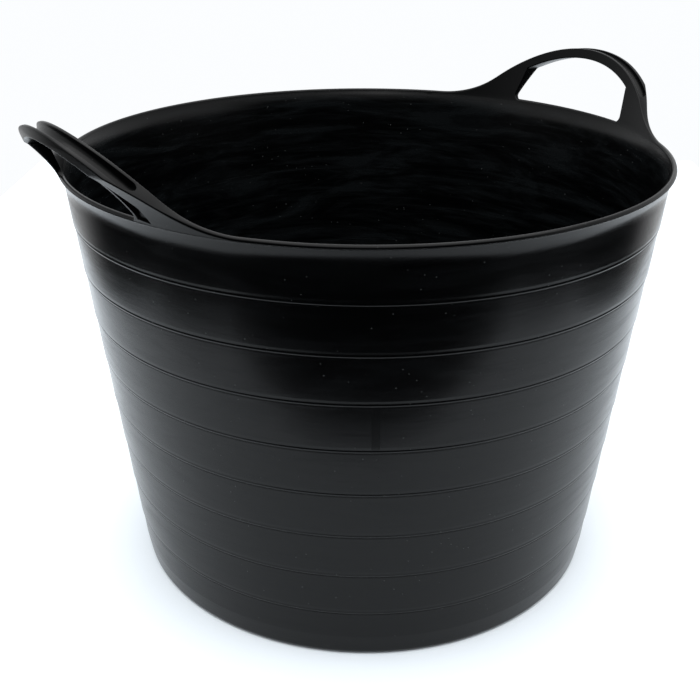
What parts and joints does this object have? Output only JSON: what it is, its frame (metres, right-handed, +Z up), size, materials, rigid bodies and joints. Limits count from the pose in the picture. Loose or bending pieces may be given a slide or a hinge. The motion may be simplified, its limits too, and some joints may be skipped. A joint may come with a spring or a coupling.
{
  "type": "mortar mixing tub",
  "caption": "Round flexible plastic mixing tub for mortar, with a tapered wall in shallow stepped bands, a flared beaded rim and a leaning loop handle on each side.",
  "frame": {"origin": "middle of the base, on the ground plane that the heel ring rests on", "axes": "+Z up out of the mouth, the two handles on -X and +X, Y across them; millimetres in the solids"},
  "size_m": [0.5032, 0.45, 0.3735],
  "materials": {
    "tub_plastic": "moulded, semi-gloss"
  },
  "bodies": {
    "tub": {"base_floor": "tub_plastic", "base_heel": "tub_plastic", "stepped_wall": "tub_plastic", "flared_band": "tub_plastic", "rim_bead_front_left": "tub_plastic", "rim_bead_front_middle": "tub_plastic", "rim_bead_front_right": "tub_plastic", "rim_bead_back_left": "tub_plastic", "rim_bead_back_middle": "tub_plastic", "rim_bead_back_right": "tub_plastic", "rim_bead_left": "tub_plastic", "rim_bead_right": "tub_plastic", "foot_left_front": "tub_plastic", "foot_left_back": "tub_plastic", "foot_right_front": "tub_plastic", "foot_right_back": "tub_plastic"},
    "handle_left": {"leg_left_front": "tub_plastic", "leg_left_back": "tub_plastic", "grip_left": "tub_plastic"},
    "handle_right": {"leg_right_front": "tub_plastic", "leg_right_back": "tub_plastic", "grip_right": "tub_plastic"}
  },
  "joints": [
    {"name": "flex_left", "type": "hinge", "parent": "tub", "child": "handle_left", "pos_m": [-0.2195, 0, 0.328], "axis": [0, 1, 0], "range_deg": [-15, 40], "stiffness_Nm_per_rad": 3},
    {"name": "flex_right", "type": "hinge", "parent": "tub", "child": "handle_right", "pos_m": [0.2195, 0, 0.328], "axis": [0, -1, 0], "range_deg": [-15, 40], "stiffness_Nm_per_rad": 3}
  ]
}
